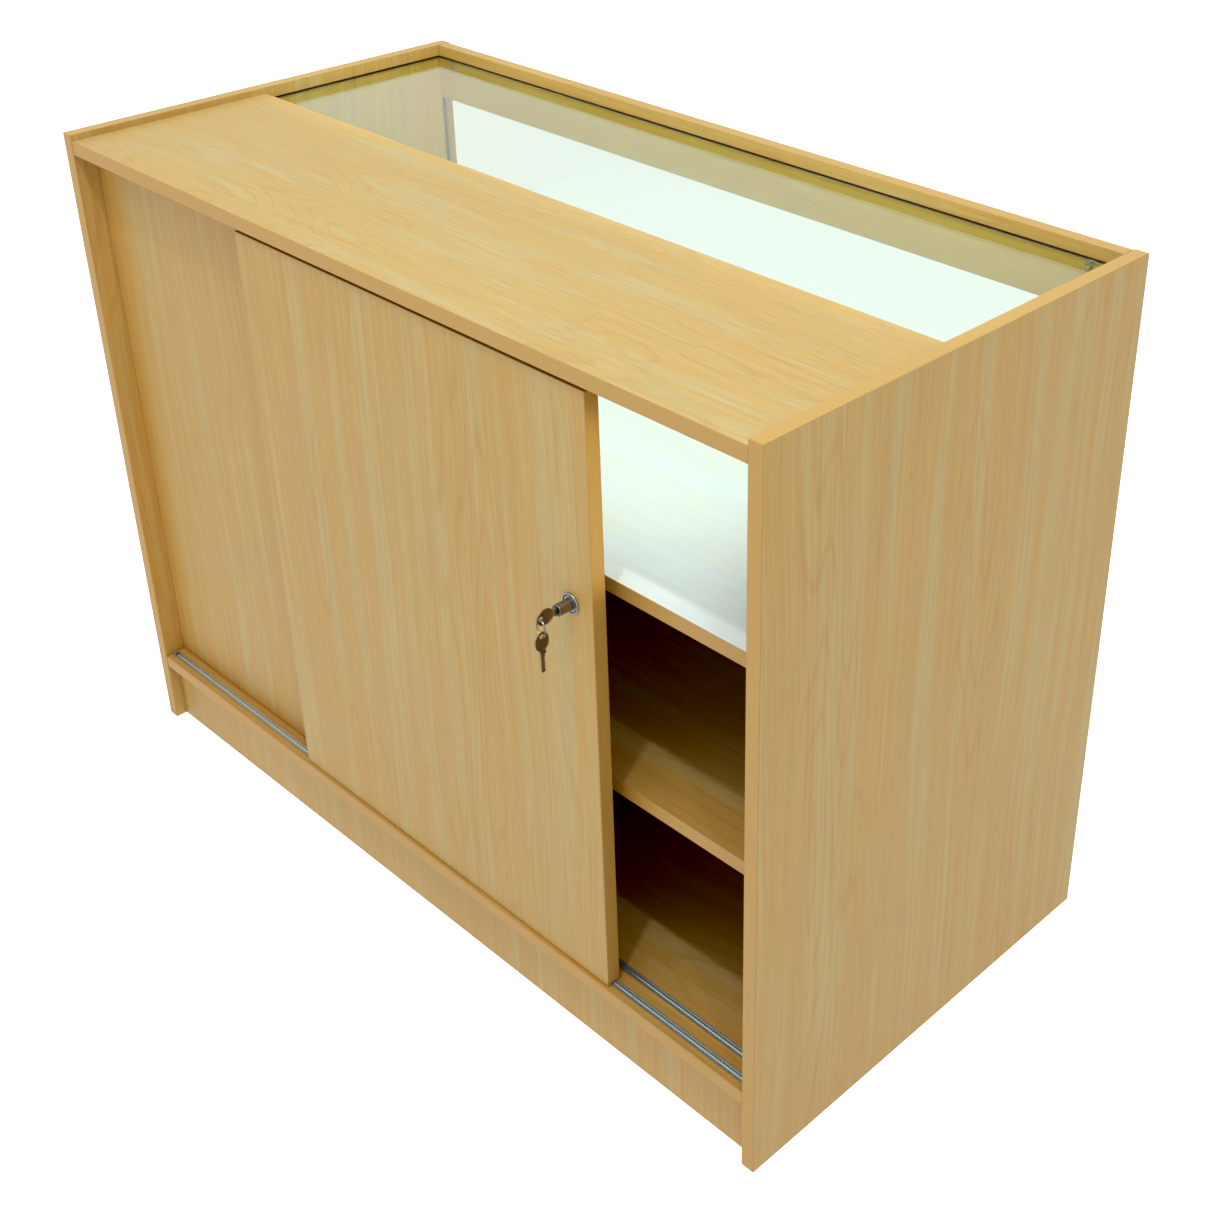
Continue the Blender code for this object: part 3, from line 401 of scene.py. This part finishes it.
made_of = {node: laminate("maple_" + node, *setup) for node, setup in BOARDS.items()}
made_of["glass_top"] = pane("top_glass", (0.825, 0.918, 0.725, 1))
made_of["window_glass"] = pane("window_glass_clear", (0.950, 0.970, 0.960, 1))
aluminium = metal("aluminium", (0.56, 0.63, 0.65), (0.41, 0.46, 0.475), 0.36, 0.14, "X")
chrome = metal("chrome", (0.44, 0.44, 0.43), (0.32, 0.32, 0.31), 0.16)
steel = metal("zinc_steel", (0.66, 0.67, 0.69), (0.48, 0.49, 0.52), 0.22)
core_metal = metal("lock_core_metal", (0.17, 0.18, 0.18), (0.08, 0.085, 0.09), 0.4)
# The keys' nickel is tinted brown: painted reflection, standing for the wooden door mirrored in the
# keys.
nickel_with_painted_reflection = metal("nickel_with_painted_reflection", (0.46, 0.37, 0.25), (0.26, 0.19, 0.11), 0.26, 0.16)
# The barrel's chrome is tinted warm: painted reflection, standing for the wooden door mirrored in it.
barrel_chrome_with_painted_reflection = metal("barrel_chrome_with_painted_reflection", (0.34, 0.30, 0.30), (0.20, 0.17, 0.16), 0.20)
ring_steel = metal("ring_steel", (0.34, 0.34, 0.33), (0.20, 0.20, 0.19), 0.26)
gunmetal = metal("gunmetal", (0.13, 0.16, 0.18), (0.06, 0.075, 0.085), 0.30)
screw_brown = metal("bronzed_screw", (0.20, 0.08, 0.04), (0.10, 0.04, 0.02), 0.38)
brown = plastic("brown_plastic", srgb(150, 100, 50), 0.45)
white = plastic("white_plastic", srgb(228, 228, 224), 0.42)
clear = plastic("clear_plastic", srgb(214, 220, 214), 0.22, see_through=0.75)
grey_seal = plastic("grey_seal", srgb(46, 48, 42), 0.80)
# The gasket's dark brown is painted shade for the shadowed gap round the glass top.
rubber = plastic("brown_rubber", srgb(42, 25, 8), 0.95, gloss=0.1)
wood_pin = beech("beech")

# The first row with a word that stands in a node's name gives its material.
LOOKS = (
    (("bottom_track",), aluminium),
    (("top_guide_track", "_door_guide_"), brown),
    (("glass_support",), clear),
    (("dowel",), wood_pin),
    (("lock_housing", "lock_barrel"), chrome),
    (("lock_core",), core_metal),
    (("key_in_lock", "spare_key"), nickel_with_painted_reflection),
    (("shelf_pin", "support_screw", "lock_", "key_ring", "axle"), steel),
    (("",), white),
)


def finish_for(node):
    if node in made_of:
        return made_of[node]
    return next(look for words, look in LOOKS if any(word in node for word in words))


for node, item in frame["nodes"].items():
    item.data.materials.clear()
    item.data.materials.append(finish_for(node))


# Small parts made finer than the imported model's

SHARP_FROM = math.radians(35)


def add_piece(name, builder, materials, body, stands_for=()):
    """A mesh piece with smooth shading between its sharp edges, riding on a body."""
    mesh = bpy.data.meshes.new(name)
    bmesh.ops.recalc_face_normals(builder, faces=builder.faces)
    builder.to_mesh(mesh)
    builder.free()
    for item in materials:
        mesh.materials.append(item)
    mesh.shade_smooth()
    mesh.set_sharp_from_angle(angle=SHARP_FROM)
    piece = bpy.data.objects.new(name, mesh)
    bpy.context.scene.collection.objects.link(piece)
    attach(piece, body)
    if stands_for:
        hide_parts(*stands_for)
    return piece


def add_bevel(piece, width):
    bevel = piece.modifiers.new("rounded", "BEVEL")
    bevel.width = width
    bevel.segments = 3
    bevel.limit_method = "ANGLE"
    bevel.angle_limit = SHARP_FROM


def circle(steps):
    """The cosine and sine at even steps round a circle."""
    angles = (math.tau * step / steps for step in range(steps))
    return [(math.cos(angle), math.sin(angle)) for angle in angles]


def loft(builder, rings, closed=False):
    """Skin between rings of points, each a closed loop; closed joins the last to the first."""
    loops = [[builder.verts.new(point) for point in ring] for ring in rings]
    pairs = list(zip(loops, loops[1:]))
    if closed:
        pairs.append((loops[-1], loops[0]))
    faces = []
    for first, second in pairs:
        for i in range(len(first)):
            j = (i + 1) % len(first)
            faces.append(builder.faces.new((first[i], first[j], second[j], second[i])))
    if not closed:
        builder.faces.new(loops[0])
        builder.faces.new(reversed(loops[-1]))
    return faces


def middle(node):
    low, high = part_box(node)
    return (Vector(low) + Vector(high)) / 2


# The lock's flange, from its bore outwards: a flat ring, a groove, a raised rim and an outer edge.
FLANGE_RING = 0.0092
FLANGE_GROOVE = (0.0094, 0.0100)
FLANGE_RIM = (0.0103, 0.0114)
FLANGE_EDGE = 0.0120
FLANGE_DEPTHS = (0.0003, 0.0013, 0.0, 0.0007)
FLANGE_THICKNESS = 0.0022
FLANGE_BEVEL = 0.00018
TUBE_RADIUS = 0.0090
CORE_RADIUS = 0.0051
CORE_SETBACK = 0.0010
MOUTH_RADIUS = 0.0036
MOUTH_ROUND = 0.0002
BARREL_ROUND = 0.0004
BARREL_BEVEL = 0.0002


def turn_about_y(builder, profile, centre, dark):
    """Turns a closed profile of (radius, y) about a line along Y; dark lists sides in material 1."""
    rings = [
        [(centre.x + radius * across, y, centre.z + radius * up) for radius, y in profile]
        for across, up in circle(96)
    ]
    faces = loft(builder, rings, closed=True)
    for index, face in enumerate(faces):
        face.material_index = int(index % len(profile) in dark)


def lock_pieces():
    """The push lock's dished flange, and its barrel with a narrowed mouth round the core."""
    low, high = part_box("lock_housing")
    barrel_low, barrel_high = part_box("lock_barrel")
    barrel = (barrel_high[0] - barrel_low[0]) / 2
    bore = barrel + GAP
    rear = high[1]
    ring, groove, rim, edge = (low[1] + depth for depth in FLANGE_DEPTHS)
    shoulder = low[1] + FLANGE_THICKNESS
    profile = [
        (bore, ring), (FLANGE_RING, ring), (FLANGE_GROOVE[0], groove), (FLANGE_GROOVE[1], groove),
        (FLANGE_RIM[0], rim), (FLANGE_RIM[1], rim), (FLANGE_EDGE, edge), (FLANGE_EDGE, shoulder),
        (TUBE_RADIUS, shoulder), (TUBE_RADIUS, rear), (bore, rear),
    ]
    builder = bmesh.new()
    turn_about_y(builder, profile, middle("lock_housing"), dark=(1, 2, 3))
    looks = [chrome, gunmetal]
    flange = add_piece("lock_flange", builder, looks, "outer_door", ["lock_housing"])
    add_bevel(flange, FLANGE_BEVEL)

    front, rear = barrel_low[1], barrel_high[1]
    core_face = front + CORE_SETBACK
    profile = [
        (MOUTH_RADIUS, core_face), (MOUTH_RADIUS, front + MOUTH_ROUND),
        (MOUTH_RADIUS + MOUTH_ROUND, front), (barrel - BARREL_ROUND, front),
        (barrel, front + BARREL_ROUND), (barrel, rear), (CORE_RADIUS, rear), (CORE_RADIUS, core_face),
    ]
    builder = bmesh.new()
    turn_about_y(builder, profile, middle("lock_housing"), dark=(0, 1, 2, 6, 7))
    looks = [barrel_chrome_with_painted_reflection, gunmetal]
    shell = add_piece("lock_barrel_shell", builder, looks, "lock_barrel", ["lock_barrel"])
    add_bevel(shell, BARREL_BEVEL)


# A key is drawn from the middle of its ring hole, with its blade towards +u.
KEY_THICKNESS = 0.0018
KEY_BEVEL = 0.00028
BOW_CENTRE = 0.0060
BOW_HALF = (0.0113, 0.0090)
BOW_RIM = 0.0015
BOW_WEB = 0.62  # the web's thickness as a share of the rim's
BOW_OVERLAP = 0.0002
BOW_END = BOW_HALF[0] - BOW_CENTRE
RING_HOLE = 0.0029
RING_HOLE_RIM = 0.0009
COLLAR = (0.0160, 0.0210)
COLLAR_HALF = (0.0037, 0.0017)
COLLAR_ROUND = 0.0006
COLLAR_END = 0.86  # the size of the collar's ends as a share of its middle
BLADE_ROOT = COLLAR[0] + 0.001
BLADE_SHOULDER = COLLAR[1] + 0.0030
BLADE_HALF = 0.00275
BLADE_END = 0.0435
BLADE_CHAMFER = 0.0016
BLADE_BEVEL = 0.0003
BLADE_EDGE = 0.6  # the thickness of the blade's two edges as a share of the key's
CUT_DEPTHS = (0.0011, 0.0017, 0.0007, 0.0014, 0.0010)
CUT_PITCH = 0.0033
CUT_FIRST = COLLAR[1] + 0.0048
CUT_HALF = (0.0004, 0.0012)
MILLING = (-0.0008, -0.0006, 0.0004, 0.0006)  # the edges of the groove milled along the blade
MILLED = 0.45  # the blade's thickness in that groove as a share of the key's


def plate(builder, outline, hole, half):
    """A flat plate with a hole: both outlines have as many points and start on the same side."""
    edges = (outline, -half), (outline, half), (hole, half), (hole, -half)
    loft(builder, [[(u, v, w) for u, v in edge] for edge, w in edges], closed=True)


def oval(centre, half_length, half_width):
    return [(centre + half_length * along, half_width * across) for along, across in circle(64)]


def blade_rings():
    """Cross-sections of the milled blade from the collar to the tip, with its cuts in one edge."""
    floor_half, mouth_half = CUT_HALF
    stations = [(BLADE_ROOT, 0.0), (BLADE_SHOULDER, 0.0)]
    for cut, depth in enumerate(CUT_DEPTHS):
        at = CUT_FIRST + cut * CUT_PITCH
        stations += [(at - mouth_half, 0.0), (at - floor_half, depth)]
        stations += [(at + floor_half, depth), (at + mouth_half, 0.0)]
    stations += [(BLADE_END - BLADE_CHAMFER, 0.0), (BLADE_END, BLADE_CHAMFER)]
    half = KEY_THICKNESS / 2
    edge, milled, bevel = half * BLADE_EDGE, half * MILLED, BLADE_BEVEL
    rings = []
    for u, depth in stations:
        top = BLADE_HALF - depth
        bottom = -BLADE_HALF + (depth if u == BLADE_END else 0.0)
        section = [
            (bottom, edge), (bottom + bevel, half), (MILLING[0], half), (MILLING[1], milled),
            (MILLING[2], milled), (MILLING[3], half), (top - bevel, half), (top, edge),
        ]
        section += [(v, -w) for v, w in reversed(section)]
        rings.append([(u, v, w) for v, w in section])
    return rings


def collar_rings():
    """Cross-sections of the collar, drawn in a little at both ends."""
    start, end = COLLAR
    width, depth = COLLAR_HALF
    rings = []
    for u, share in (
        (start, COLLAR_END), (start + COLLAR_ROUND, 1.0), (end - COLLAR_ROUND, 1.0), (end, COLLAR_END)
    ):
        v, w = width * share, depth * share
        rings.append([(u, -v, -w), (u, v, -w), (u, v, w), (u, -v, w)])
    return rings


def key_piece(name, node, body, toward):
    """A key lying in the YZ plane: an oval bow with a raised rim, a collar and a milled blade."""
    low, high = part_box(node)
    hole = middle(node)
    if toward.y:
        hole.y = low[1] + BOW_END
    else:
        hole.z = high[2] - BOW_END
    half = KEY_THICKNESS / 2
    inner = [size - BOW_RIM for size in BOW_HALF]
    web = oval(BOW_CENTRE, inner[0] + BOW_OVERLAP, inner[1] + BOW_OVERLAP)
    ring_hole = oval(0, RING_HOLE, RING_HOLE)
    eyelet = oval(0, RING_HOLE + RING_HOLE_RIM, RING_HOLE + RING_HOLE_RIM)
    builder = bmesh.new()
    plate(builder, oval(BOW_CENTRE, *BOW_HALF), oval(BOW_CENTRE, *inner), half)
    plate(builder, web, ring_hole, half * BOW_WEB)
    plate(builder, eyelet, ring_hole, half)
    loft(builder, collar_rings())
    loft(builder, blade_rings())
    across = Vector((1, 0, 0)).cross(toward)
    builder.transform(Matrix((
        (toward.x, across.x, 1, hole.x), (toward.y, across.y, 0, hole.y),
        (toward.z, across.z, 0, hole.z), (0, 0, 0, 1),
    )))
    piece = add_piece(name, builder, [nickel_with_painted_reflection], body, [node])
    add_bevel(piece, KEY_BEVEL)


RING_WIRE = 0.00055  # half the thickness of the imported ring
TURN_WIRE = 0.00036
RING_YAW = math.radians(-14)
RING_START = math.radians(250)
RING_STEPS = 150
RING_WOUND = 0.995  # the share of the two turns that the wire takes up
CROSSING = 16  # how fast it steps over from one turn to the other
TURN_GAP = 1.02


def split_ring():
    """Two turns of wire side by side, stepping from one to the other over a short stretch."""
    low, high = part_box("key_ring")
    centre = middle("key_ring")
    radius = (high[2] - low[2]) / 2 - RING_WIRE
    turn = Matrix.Rotation(RING_YAW, 3, "Z")
    rings = []
    for step in range(RING_STEPS + 1):
        share = step / RING_STEPS
        angle = RING_START + 2 * math.tau * share * RING_WOUND
        across = max(-1.0, min(1.0, (share - 0.5) * CROSSING)) * TURN_WIRE * TURN_GAP
        outward = Vector((math.cos(angle), 0, math.sin(angle)))
        ring = []
        for out, aside in circle(10):
            point = outward * (radius + TURN_WIRE * out)
            point.y = across + TURN_WIRE * aside
            ring.append(centre + turn @ point)
        rings.append(ring)
    builder = bmesh.new()
    loft(builder, rings)
    add_piece("split_ring", builder, [ring_steel], "key_ring", ["key_ring"])


CLIP_WALL = 0.0022
CLIP_ROUND = 0.0036
CLIP_BEVEL = 0.0005
CLIP_LEAN = 84  # degrees either side of the middle that the clip's outline turns through
CLIP_STATIONS = 14


def glass_clips():
    """Clear clips that carry the glass top on the rail: a rounded plate and shelf in one."""
    for side in ("left", "right"):
        node = "glass_support_" + side
        low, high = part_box(node)
        centre = middle(node)
        half = (high[0] - low[0]) / 2
        back, top = high[1], high[2]
        rings = []
        for station in range(CLIP_STATIONS + 1):
            lean = math.radians(-CLIP_LEAN + 2 * CLIP_LEAN * station / CLIP_STATIONS)
            x = centre.x + half * math.sin(lean)
            trim = CLIP_ROUND * (1 - math.cos(lean))
            front, bottom = low[1] + trim, low[2] + trim
            section = (
                (back, top), (front, top), (front, top - CLIP_WALL),
                (back - CLIP_WALL, top - CLIP_WALL), (back - CLIP_WALL, bottom), (back, bottom),
            )
            rings.append([(x, y, z) for y, z in section])
        builder = bmesh.new()
        loft(builder, rings)
        clip = add_piece("glass_clip_" + side, builder, [clear], "carcass", [node])
        add_bevel(clip, CLIP_BEVEL)


# The gasket's section: metres in from the boards round the glass, and up from the glass. The strip's
# dark colour is painted shade, standing for the shadowed gap round the glass.
GASKET = (
    (0.0001, -0.005), (0.0001, 0.0009), (0.0007, 0.0012), (0.0030, 0.0009),
    (0.0034, 0.0002), (0.0009, 0.0002), (0.0009, -0.005),
)


def gasket_painted_as_gap_shade():
    """A dark strip round three sides of the glass top, with a low lip on the glass. Its dark colour is
    painted shade for the shadowed gap between the glass and the boards.
    """
    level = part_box("glass_top")[1][2]
    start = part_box("timber_top")[1][1] + GAP
    left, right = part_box("end_panel_left")[1][0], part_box("end_panel_right")[0][0]
    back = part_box("front_rail")[0][1]
    corners = (
        (left, start, 1, 0), (left, back, 1, -1), (right, back, -1, -1), (right, start, -1, 0),
    )
    rings = [
        [(x + toward_x * inward, y + toward_y * inward, level + up) for inward, up in GASKET]
        for x, y, toward_x, toward_y in corners
    ]
    builder = bmesh.new()
    loft(builder, rings)
    add_piece("gasket_painted_as_gap_shade", builder, [rubber], "carcass")


# The bead's section: metres in from the end panel, and out from the glass.
BEAD = ((0, 0), (0.0030, 0), (0.0030, 0.0006), (0.0022, 0.0018), (0.0010, 0.0024), (0, 0.0024))
BEAD_BEVEL = 0.0003


def window_beads():
    """Grey glazing beads that close the window glass against both end panels."""
    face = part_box("window_glass")[0][1] - GAP
    bottom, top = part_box("front_panel")[1][2] + GAP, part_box("front_rail")[0][2] - GAP
    for side, x, inward in (
        ("left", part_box("end_panel_left")[1][0] + GAP, 1),
        ("right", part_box("end_panel_right")[0][0] - GAP, -1),
    ):
        rings = [[(x + inward * s, face - depth, z) for s, depth in BEAD] for z in (bottom, top)]
        builder = bmesh.new()
        loft(builder, rings)
        bead = add_piece("window_bead_" + side, builder, [grey_seal], "carcass")
        add_bevel(bead, BEAD_BEVEL)


# A screw's head: radius, and depth below its top. The shank ends just above the track's underside.
SCREW_HEAD = ((0.0002, 0.0012), (0.0009, 0.0001), (0.0024, 0.0), (0.0026, 0.0003))
SCREW_SHANK = (0.0013, 0.0002)
SCREW_END = 0.0002
SCREW_PROUD = 0.0001
SCREW_FROM_END = 0.009


def track_screws():
    """A countersunk screw near each end of both bottom tracks."""
    for track in ("outer", "inner"):
        low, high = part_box("bottom_track_" + track)
        centre = middle("bottom_track_" + track)
        top = high[2] + SCREW_PROUD
        profile = [(radius, top - depth) for radius, depth in SCREW_HEAD]
        profile += [(radius, low[2] + SCREW_END) for radius in SCREW_SHANK]
        for side, x in (("left", low[0] + SCREW_FROM_END), ("right", high[0] - SCREW_FROM_END)):
            rings = [
                [(x + radius * across, centre.y + radius * along, z) for radius, z in profile]
                for across, along in circle(32)
            ]
            builder = bmesh.new()
            loft(builder, rings, closed=True)
            name = f"track_screw_{track}_{side}"
            add_piece(name, builder, [screw_brown], "carcass")


lock_pieces()
key_piece("cut_key_in_lock", "key_in_lock", "key", Vector((0, 1, 0)))
key_piece("cut_spare_key", "spare_key", "spare_key", Vector((0, 0, -1)))
split_ring()
glass_clips()
gasket_painted_as_gap_shade()
window_beads()
track_screws()


# Room, lights and camera

# How bright the surroundings are where they are seen, seen through glass, mirrored and as light.
SEEN = (1.80, 1.55, 1.78, 1)
THROUGH = (0.995, 1.006, 1.196, 1)
SKY_MIRRORED = (0.98, 1.05, 0.93, 1)
SKY_FILL = (0.48, 0.49, 0.50, 1)
FLOOR_MIRRORED = (0.72, 0.72, 0.72, 1)
FLOOR_GLOW = (1.06, 1.05, 1.03, 1)
FLOOR_COLOUR = (0.14, 0.14, 0.14, 1)
FLOOR_HALF = 14.0
SPECK_RATE = 30.0
FLOOR_DROP = 0.0002
DEEP = (0.46, 0.29, 0.15)  # what is left of the surroundings' light after a bounce
BLACK = 0.009  # the picture's black level


def by_ray(tree, mirrored, diffuse):
    """White where it is seen, softer in mirrors and as light on surfaces, dimmest after bounces."""
    path = tree.nodes.new("ShaderNodeLightPath").outputs

    def bounced(count):
        node = tree.nodes.new("ShaderNodeMath")
        node.operation = "GREATER_THAN"
        tree.links.new(path["Diffuse Depth"], node.inputs[0])
        node.inputs[1].default_value = count - 0.5
        return node.outputs[0]

    deep = (*(share * part for share, part in zip(DEEP, diffuse)), 1)
    colour = None
    for share, value in (
        (path["Is Glossy Ray"], mirrored), (path["Is Transmission Ray"], THROUGH),
        (bounced(1), diffuse), (bounced(2), deep),
    ):
        choose = tree.nodes.new("ShaderNodeMix")
        choose.data_type = "RGBA"
        tree.links.new(share, choose.inputs[0])
        if colour is None:
            choose.inputs[6].default_value = SEEN
        else:
            tree.links.new(colour, choose.inputs[6])
        choose.inputs[7].default_value = value
        colour = choose.outputs[2]
    return colour


def world():
    surroundings = bpy.data.worlds.new("studio")
    bpy.context.scene.world = surroundings
    surroundings.use_nodes = True
    tree = surroundings.node_tree
    back = tree.nodes["Background"]
    tree.links.new(by_ray(tree, SKY_MIRRORED, SKY_FILL), back.inputs["Color"])


def floor():
    sh = Shader("studio_floor")
    speck = sh.noise(sh.place(), SPECK_RATE, 3.0)
    sh.finish(
        base_color=FLOOR_COLOUR,
        roughness=sh.spread(speck, *MIDDLE, 0.85, 0.95),
        emission_color=by_ray(sh.tree, FLOOR_MIRRORED, FLOOR_GLOW),
        emission_strength=1.0,
        specular_ior_level=0.0,
    )
    mesh = bpy.data.meshes.new("studio_floor")
    corners = [(x * FLOOR_HALF, y * FLOOR_HALF, 0) for x, y in ((-1, -1), (1, -1), (1, 1), (-1, 1))]
    mesh.from_pydata(corners, [], [(0, 1, 2, 3)])
    ground = bpy.data.objects.new("studio_floor", mesh)
    ground.location.z = cad_low.z - FLOOR_DROP
    mesh.materials.append(sh.material)
    bpy.context.scene.collection.objects.link(ground)


# Lamps over the object: name, place, target, size, watts, colour.
CEILING = (
    ("overhead", (0.4, -0.6, 3.2), (0.0, -0.1, 0.6), (2.2, 2.2), 48, (0.94, 0.98, 1.08)),
    ("ceiling_near", (0.83, -1.25, 4.0), (0, 0, 0.6), (0.12, 0.12), 24.5, (1, 1, 1)),
    ("ceiling_right", (2.26, -1.25, 4.0), (0, 0, 0.6), (0.12, 0.12), 11, (1, 1, 1)),
)

COOL = (0.97, 1.02, 1.10)

# Small lamps that light without being seen or mirrored: the same, and their spread in degrees.
WASHES = (
    ("rail_wash", (0, -0.10, 0.985), (0, 0.28, 0.893), (1.14, 0.05), 0.49, COOL, 90),
    ("side_wash", (-0.25, 0.13, 0.985), (-0.58, 0.13, 0.893), (0.28, 0.05), 0.10, COOL, 90),
    ("display_glow", (0, -0.105, 0.866), (0, -0.105, 0.6), (0.90, 0.30), 0.94, (0.87, 0.97, 0.96), 100),
    ("edge_bounce", (0.42, -0.285, 0.74), (0.07, -0.285, 0.74), (0.03, 0.2), 0.011, (1, 0.93, 0.8), 60),
)


def lamp(name, place, target, size, power, colour):
    light = bpy.data.lights.new(name, "AREA")
    light.shape = "RECTANGLE"
    light.size, light.size_y = size
    light.energy = power
    light.color = colour
    item = bpy.data.objects.new(name, light)
    item.location = place
    item.rotation_euler = (Vector(target) - Vector(place)).to_track_quat("-Z", "Y").to_euler()
    bpy.context.scene.collection.objects.link(item)
    return item


def lights():
    for setup in CEILING:
        lamp(*setup)
    for *setup, spread in WASHES:
        wash = lamp(*setup)
        wash.data.spread = math.radians(spread)
        wash.visible_camera = wash.visible_glossy = wash.visible_transmission = False


CAMERA_PLACE = (1.48227, -1.26507, 1.59652)
CAMERA_LENS = 52.18
CAMERA_SENSOR = 36.0
CAMERA_SHIFT = (-0.0912, -0.1057)
CAMERA_AZIMUTH = math.radians(44.12)
CAMERA_DOWN = math.radians(29.15)


def camera():
    view = bpy.data.cameras.new("camera")
    view.lens = CAMERA_LENS
    view.sensor_width = CAMERA_SENSOR
    view.shift_x, view.shift_y = CAMERA_SHIFT
    item = bpy.data.objects.new("camera", view)
    item.location = CAMERA_PLACE
    aim = Vector((
        -math.sin(CAMERA_AZIMUTH) * math.cos(CAMERA_DOWN),
        math.cos(CAMERA_AZIMUTH) * math.cos(CAMERA_DOWN),
        -math.sin(CAMERA_DOWN),
    ))
    item.rotation_euler = aim.to_track_quat("-Z", "Y").to_euler()
    bpy.context.scene.collection.objects.link(item)
    bpy.context.scene.camera = item


world()
floor()
lights()
camera()
picture = bpy.context.scene.view_settings
picture.view_transform = "Standard"
picture.use_curve_mapping = True
picture.curve_mapping.black_level = (BLACK, BLACK, BLACK)
picture.curve_mapping.update()
